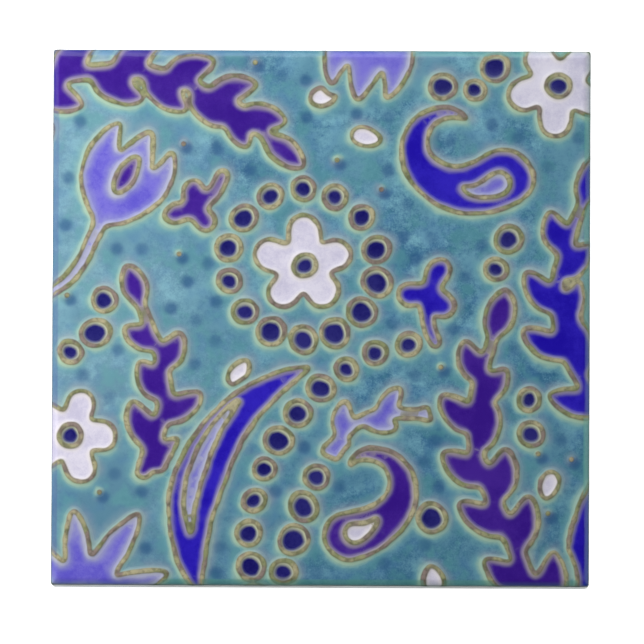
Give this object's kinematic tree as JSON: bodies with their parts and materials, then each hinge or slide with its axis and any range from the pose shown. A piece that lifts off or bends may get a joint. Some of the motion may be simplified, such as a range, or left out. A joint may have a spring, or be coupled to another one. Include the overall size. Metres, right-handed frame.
{
  "type": "reproduction tile",
  "caption": "Square glazed ceramic wall tile with hand-trailed raised outlines round pools of coloured glaze, a rolled face edge and a keyed back.",
  "frame": {"origin": "centre of the tile's back, on the plane it lies on", "axes": "+Z out of the glazed face, +Y towards the top edge of the pattern, +X towards its right edge"},
  "size_m": [0.1524, 0.1524, 0.009],
  "materials": {
    "glaze": "glossy turquoise glaze with ochre slip lines, on a pale fired body that shows at the sides and back"
  },
  "bodies": {
    "root": {"tile": "glaze"}
  },
  "joints": []
}
